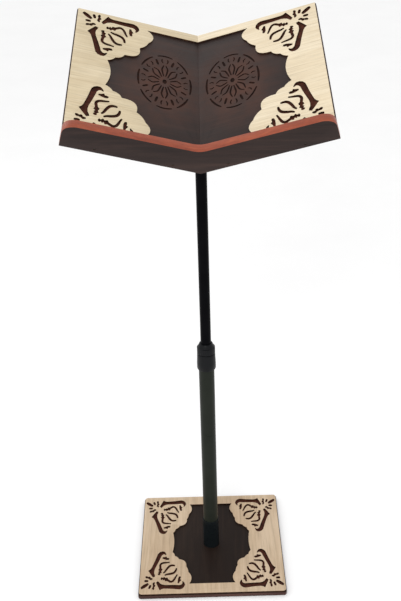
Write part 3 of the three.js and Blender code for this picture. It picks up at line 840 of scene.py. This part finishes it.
def make_wing(side, name):
    """One wing, made as the right one and mirrored for the left."""
    shapes = placed_shapes(PANEL_FRET) + placed_shapes(PANEL_FRET, 1, -1, PANEL_FRET_MIDDLE)
    shapes = [shape for shape in (clipped(shape, FRET_LOWEST) for shape in shapes) if shape]
    board = wing_board(name, shapes)
    # The left wing's fretwork takes the darker copy of the maple: painted shade.
    overlay = wing_overlay(name, shapes, maple_across if side > 0 else maple_painted_shade)
    parts = (
        (f"{name}_reading_board", board, "wenge_board", f"{name}_panel"),
        (f"{name}_fretwork", overlay, "maple_fretwork", f"{name}_overlay"),
        (f"{name}_strip", wing_batten(name), "raw_timber", f"{name}_batten"),
    )
    for part_name, mesh, slot, node in parts:
        if side < 0:
            mirror_mesh(mesh)
        piece(part_name, mesh, "mast", node, wing_place(side))


for wing_side, wing_name in SIDES:
    make_wing(wing_side, wing_name)


def lip_section():
    """The lip's outline across the fold: a V with rounded ends and a rounded valley."""
    corners = ((PANEL_WIDTH, -LIP_END_DROP), (PANEL_WIDTH, LIP_END_RISE),
               (PANEL_WIDTH - LIP_END_LENGTH, LIP_RISE))
    a, b, c = (Vector(on_wing(*corner)) for corner in corners)
    end = [tuple(bend(a, b, c, step / 12)) for step in range(13)]
    shoulder = Vector(on_wing(LIP_RISE * math.tan(WING) + LIP_VALLEY_LENGTH, LIP_RISE))
    mirror_shoulder = Vector((-shoulder.x, shoulder.y))
    low = Vector((0, LIP_RISE / math.cos(WING)))
    dip = [tuple(bend(shoulder, low, mirror_shoulder, step / 9)) for step in range(1, 9)]
    right = [on_wing(PANEL_WIDTH, -LIP_DROP)] + end + [tuple(shoulder)]
    left = [(-x, z) for x, z in right[::-1]]
    return [(0, -LIP_DROP / math.cos(WING))] + right + dip + left


def make_lip():
    mesh = bar_mesh("lip", lip_section(), END_GAP - LIP_THICKNESS, 0, bevel=0.7)
    mesh.materials.append(wenge_across)
    mesh.materials.append(mahogany)
    for face in mesh.polygons:
        if abs(face.normal.y) < LIP_FACE_SLOPE:
            face.material_index = 1
    holes = []
    for side in (-1, 1):
        for reach in NAIL_REACH:
            hole = turned("hole", [(0, 0), (2.1, 0), (2.1, 2), (0, 2)], segments=24)
            hole.transform(Matrix.Rotation(math.radians(90), 4, "X"))
            x, z = on_wing(reach, -NAIL_DEPTH)
            hole.transform(Matrix.Translation((side * x * MM, (1 - LIP_THICKNESS) * MM, z * MM)))
            holes.append(hole)
    mesh = carve(mesh, holes, scorched)
    piece("book_lip", mesh, "mast", "front_lip", lectern_place())


make_lip()


# ---- fasteners and steelwork ------------------------------------------------------------------
def carve_cross(mesh, arm_section, reach):
    """Cuts a cross recess whose arms have a section in X and Z and run a reach out both ways."""
    for turn in (0, 90):
        arm = bar_mesh("arm", arm_section, -reach, reach, bevel=0.01)
        arm.transform(Matrix.Rotation(math.radians(turn), 4, "Z"))
        mesh = carve(mesh, [arm], zinc_steel)
    return mesh


def screw_mesh(length):
    """A countersunk screw that points up from its cross-recessed face at height 0."""
    head, shank, root = 3.75, 1.9, 1.45
    neck = head - shank
    pitch = 1.1
    profile = [(0, 0.15), (head - 0.25, 0.15), (head, 0.4), (shank, neck + 0.3)]
    thread = neck + 0.8
    while thread < length - 2 * pitch:
        profile += [(shank, thread), (root, thread + 0.35), (shank, thread + 0.7)]
        thread += pitch
    profile += [(shank - 0.3, length - 1.2), (0, length)]
    mesh = coated(turned("screw", profile, segments=48), zinc_steel)
    return carve_cross(mesh, [(-0.55, -0.5), (0.55, -0.5), (0.35, 1.3), (-0.35, 1.3)], reach=2.1)


def pan_screw_mesh(seat, tip):
    """A round-headed screw along +Y from its tip to its seat, with its head outside."""
    top = seat + 2.6
    low, high = top - 1.4, top + 1
    profile = [(0, tip), (1.8, tip), (1.8, seat), (3.8, seat), (4, seat + 0.2), (3.95, seat + 0.9),
               (3.5, seat + 1.7), (2.6, seat + 2.3), (1.4, seat + 2.55), (0, top)]
    mesh = coated(turned("pan_screw", profile, segments=48), zinc_steel)
    mesh = carve_cross(mesh, [(-0.5, low), (0.5, low), (0.5, high), (-0.5, high)], reach=1.9)
    mesh.transform(Matrix.Rotation(math.radians(-90), 4, "X"))
    return mesh


def nail_mesh():
    """A nail along +Y whose sunk head lies just behind the lip's near face."""
    front = -LIP_THICKNESS
    tip = front + NAIL_LENGTH
    profile = [(0, front + 0.55), (1.2, front + 0.6), (1.7, front + 0.75), (1.85, front + 0.95),
               (0.9, front + 1.3), (0.9, tip - 1.8), (0, tip)]
    nail = coated(turned("nail", profile, segments=32), nail_steel)
    nail.transform(Matrix.Rotation(math.radians(-90), 4, "X"))
    return nail


def saddle_screw_spots():
    """The four screws of a saddle plate: (reach from the fold, distance along it)."""
    ends = (SADDLE_NEAR + SADDLE_SCREW_EDGE, SADDLE_FAR - SADDLE_SCREW_EDGE)
    return [(reach, along) for reach in SADDLE_SCREW_REACH for along in ends]


def moved(mesh, place):
    copy = mesh.copy()
    copy.transform(place)
    return copy


def make_flange_screws():
    screw = screw_mesh(length=6.5)
    for index, (sign_x, sign_y) in enumerate(((-1, -1), (1, -1), (1, 1), (-1, 1))):
        spin = Matrix.Rotation(math.radians(23 + 61 * index), 4, "Z")
        spot = Matrix.Translation((sign_x * FLANGE_SCREW * MM, sign_y * FLANGE_SCREW * MM, 0))
        piece(f"flange_cross_screw_{index + 1}", moved(screw, spot @ spin), "base",
              f"flange_screw_{index + 1}")


def make_wing_screws_and_nails():
    screw = screw_mesh(length=7.5)
    for side, name in SIDES:
        for index, (reach, along) in enumerate(saddle_screw_spots()):
            spot = Matrix.Translation((side * reach * MM, along * MM, -SADDLE_BOTTOM * MM))
            spin = Matrix.Rotation(math.radians(17 + 47 * index), 4, "Z")
            piece(f"saddle_cross_screw_{name}_{index + 1}", screw.copy(), "mast",
                  f"saddle_screw_{name}_{index + 1}", wing_place(side) @ spot @ spin)
        for index, reach in enumerate(NAIL_REACH):
            spot = Matrix.Translation((side * reach * MM, 0, -NAIL_DEPTH * MM))
            piece(f"nail_{name}_{index + 1}", nail_mesh(), "mast",
                  f"lip_nail_{name}_{index + 1}", wing_place(side) @ spot)


def make_pole_screws():
    socket_place = Matrix.Translation((0, 0, SOCKET_SCREW_HEIGHT * MM))
    socket_screw = moved(pan_screw_mesh(seat=17, tip=15.3), socket_place)
    piece("socket_pan_screw", socket_screw, "base", "socket_screw")
    head_place = Matrix.Translation((0, 0, HEAD_SCREW_HEIGHT * MM))
    head_screw = moved(pan_screw_mesh(seat=12.5, tip=10.3), head_place)
    piece("head_pan_screw", head_screw, "mast", "head_screw")


make_flange_screws()
make_wing_screws_and_nails()
make_pole_screws()


def bead(name, points, radius, closed):
    """A weld bead along a line of points: a round string with overlapping ripples."""
    curve = bpy.data.curves.new(name, "CURVE")
    curve.dimensions = "3D"
    curve.bevel_depth = radius * MM
    curve.bevel_resolution = 3
    curve.use_fill_caps = not closed
    spline = curve.splines.new("POLY")
    spline.points.add(len(points) - 1)
    for index, (point, (x, y, z)) in enumerate(zip(spline.points, points)):
        point.co = (x * MM, y * MM, z * MM, 1)
        point.radius = 0.85 + 0.15 * math.cos(index * 1.7)
    spline.use_cyclic_u = closed
    return coated(finish_mesh(curve_mesh(name, curve), angle=60), black_steel)


def seat_height(x, y):
    """The height of the saddle's underside, less the weld line, over a point of the floor."""
    depth = (SADDLE_BOTTOM + GLUE_GAP) / math.cos(WING)
    across = abs(x) * math.tan(WING) - depth
    return FOLD_Z + (across + (y - FOLD_Y) * math.sin(LEAN)) / math.cos(LEAN)


def make_saddle_plates():
    section = wing_section(BOARD_BOTTOM + GLUE_GAP, SADDLE_BOTTOM, SADDLE_REACH)
    for side, name in SIDES:
        plate = bar_mesh(f"{name}_leaf", section, SADDLE_NEAR, SADDLE_FAR, bevel=0.4)
        holes = []
        for reach, along in saddle_screw_spots():
            cone = turned("cone", SCREW_CONE, segments=32)
            cone.transform(Matrix.Translation((reach * MM, along * MM, -SADDLE_BOTTOM * MM)))
            holes.append(cone)
        plate = carve(coated(plate, black_steel), holes, black_steel)
        if side < 0:
            mirror_mesh(plate)
        piece(f"{name}_saddle_plate", plate, "mast", f"{name}_saddle_leaf",
              wing_place(side))


def make_saddle_seam():
    """The weld along the fold under the two saddle plates."""
    depth = -(SADDLE_BOTTOM - 0.2) / math.cos(WING)
    inset, steps = 3, 70
    seam = [(0, SADDLE_NEAR + inset + (SADDLE_FAR - SADDLE_NEAR - 2 * inset) * step / steps, depth)
            for step in range(steps + 1)]
    weld = bead("saddle_seam", seam, radius=1.3, closed=False)
    piece("saddle_seam_weld", weld, "mast", None, lectern_place())


def make_head_sleeve():
    """The sleeve over the pole's top, cut to the saddle's underside."""
    outer, inner = HEAD_SOCKET_RADIUS, HEAD_SOCKET_INSIDE
    bottom, top = HEAD_SOCKET_BOTTOM, HEAD_SOCKET_BLANK_TOP
    sleeve = turned("head_sleeve", [
        (inner, bottom), (outer - 0.5, bottom), (outer, bottom + 0.5), (outer, top), (inner, top),
        (inner, bottom)])
    over = 60
    depth = SADDLE_BOTTOM + GLUE_GAP
    x, z = on_wing(SADDLE_REACH, -depth)
    section = [(0, -depth / math.cos(WING)), (x, z), (x, 150), (-x, 150), (-x, z)]
    above = bar_mesh("above", section, SADDLE_NEAR - over, SADDLE_FAR + over, bevel=0.01)
    above.transform(lectern_place())
    sleeve = carve(coated(sleeve, black_steel), [above], black_steel)
    piece("head_sleeve", sleeve, "mast", "head_socket")


def make_head_weld():
    """The weld round the sleeve where it meets the saddle."""
    circle = circle_outline(0, 0, HEAD_SOCKET_RADIUS + 0.4, steps=64)
    ring = [(x, y, seat_height(x, y) - 0.6) for x, y in circle]
    piece("head_weld", bead("head_weld", ring, radius=1.5, closed=True), "mast")


make_saddle_plates()
make_saddle_seam()
make_head_sleeve()
make_head_weld()


def make_flange():
    holes = [circle_outline(x, y, FLANGE_HOLE_RADIUS)
             for x in (-FLANGE_SCREW, FLANGE_SCREW) for y in (-FLANGE_SCREW, FLANGE_SCREW)]
    outline = square_outline(FLANGE_SIDE)
    plate = sheet_mesh("flange", outline, holes, 0, FLANGE_THICKNESS, bevel=0.3)
    piece("flange_sheet", coated(plate, black_steel), "base", "flange_plate")


make_flange()


# ---- pole -------------------------------------------------------------------------------------
# The clutch's profiles, as (radius, height) from the floor, and its nut's 24 finger grooves.
CLUTCH_SLEEVE = [
    (15.3, 451), (16.4, 451), (17.4, 451.6), (18.1, 453.2), (18.1, 465), (17.95, 468), (17.5, 478),
    (17.3, 483.6), (17.0, 484.6), (16.5, 485), (14.5, 485), (14.5, 494), (12.3, 494), (12.3, 472.3),
    (10.3, 472.3), (10.3, 470.3), (15.3, 470.3), (15.3, 451),
]
CLUTCH_RING = [
    (14.8, 486), (16.7, 486), (17.2, 486.5), (17.3, 487.2), (17.3, 497.8), (17.0, 498.6),
    (16.4, 499), (15.6, 499.3), (13.0, 505.6), (12.2, 506.8), (11.6, 507), (10.3, 507),
    (10.3, 499.3), (11.5, 499.3), (12.6, 494.3), (14.8, 494.3), (14.8, 486),
]
CLUTCH_GROOVES = (24, 0.5, 487, 498)


def make_tubes():
    bottom = FLANGE_THICKNESS + GLUE_GAP
    socket = tube_profile(SOCKET_RADIUS, LOWER_TUBE_RADIUS + GLUE_GAP, bottom, SOCKET_TOP,
                          chamfer=0.5)
    piece("socket_sleeve", coated(turned("socket_sleeve", socket), socket_steel), "base",
          "pole_socket")
    lower = tube_profile(LOWER_TUBE_RADIUS, LOWER_TUBE_RADIUS - TUBE_WALL, bottom, LOWER_TUBE_TOP)
    piece("lower_pole", coated(turned("lower_pole", lower), grey_steel), "base",
          "lower_tube")
    upper = tube_profile(UPPER_TUBE_RADIUS, UPPER_TUBE_RADIUS - TUBE_WALL, UPPER_TUBE_BOTTOM,
                         UPPER_TUBE_TOP)
    piece("upper_pole", coated(turned("upper_pole", upper), black_steel), "mast",
          "upper_tube")


def make_clutch():
    sleeve = coated(turned("clutch_sleeve", CLUTCH_SLEEVE), black_plastic)
    piece("clutch_sleeve", sleeve, "base", "clutch_body")
    ring = coated(turned("clutch_ring", CLUTCH_RING, 192, CLUTCH_GROOVES), black_plastic)
    piece("clutch_ring", ring, "clutch_nut", "clutch_nut")


make_tubes()
make_clutch()


# ---- CAD nodes that stay ----------------------------------------------------------------------
def dress_cad_nodes():
    """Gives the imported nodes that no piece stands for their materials."""
    for name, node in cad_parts.items():
        if node.hide_render:
            continue
        nylon = name in ("clutch_collet", "guide_bush")
        for material_slot in node.material_slots:
            material_slot.material = white_nylon if nylon else zinc_steel


dress_cad_nodes()


# ---- floor and light --------------------------------------------------------------------------
FLOOR_REACH = 25
FLOOR_HEIGHT = -0.0004
LAMPS = (
    ("key", (-0.5, -2.1, 2.3), 0.8, 18),
    ("rim", (-1.6, 1.2, 2.2), 1.2, 7),
)
LAMP_AIM = (0, 0, 0.7)


def make_floor():
    nodes = Nodes("floor")
    tone = nodes.ramp(nodes.noise(nodes.coordinates(), 3, 3), (0.3, 0.93), (0.7, 0.95))
    nodes.link(tone, nodes.shader.inputs["Base Color"])
    nodes.set(Roughness=0.9, Specular_IOR_Level=0.05)
    mesh = bpy.data.meshes.new("floor")
    corners = [(x, y, 0) for x, y in square_outline(2 * FLOOR_REACH)]
    mesh.from_pydata(corners, [], [(0, 1, 2, 3)])
    mesh.materials.append(nodes.material)
    floor = bpy.data.objects.new("floor", mesh)
    floor.location.z = FLOOR_HEIGHT
    bpy.context.scene.collection.objects.link(floor)


def make_world():
    world = bpy.data.worlds.new("studio")
    world.use_nodes = True
    background = world.node_tree.nodes["Background"]
    background.inputs["Color"].default_value = (1, 1, 1, 1)
    background.inputs["Strength"].default_value = 1.0
    bpy.context.scene.world = world


def make_lamps():
    for name, place, size, power in LAMPS:
        data = bpy.data.lights.new(name, "AREA")
        data.size = size
        data.energy = power
        lamp = bpy.data.objects.new(name, data)
        lamp.location = place
        aim = Vector(LAMP_AIM) - Vector(place)
        lamp.rotation_euler = aim.to_track_quat("-Z", "Y").to_euler()
        bpy.context.scene.collection.objects.link(lamp)


make_floor()
make_world()
make_lamps()
bpy.context.scene.view_settings.view_transform = "Standard"
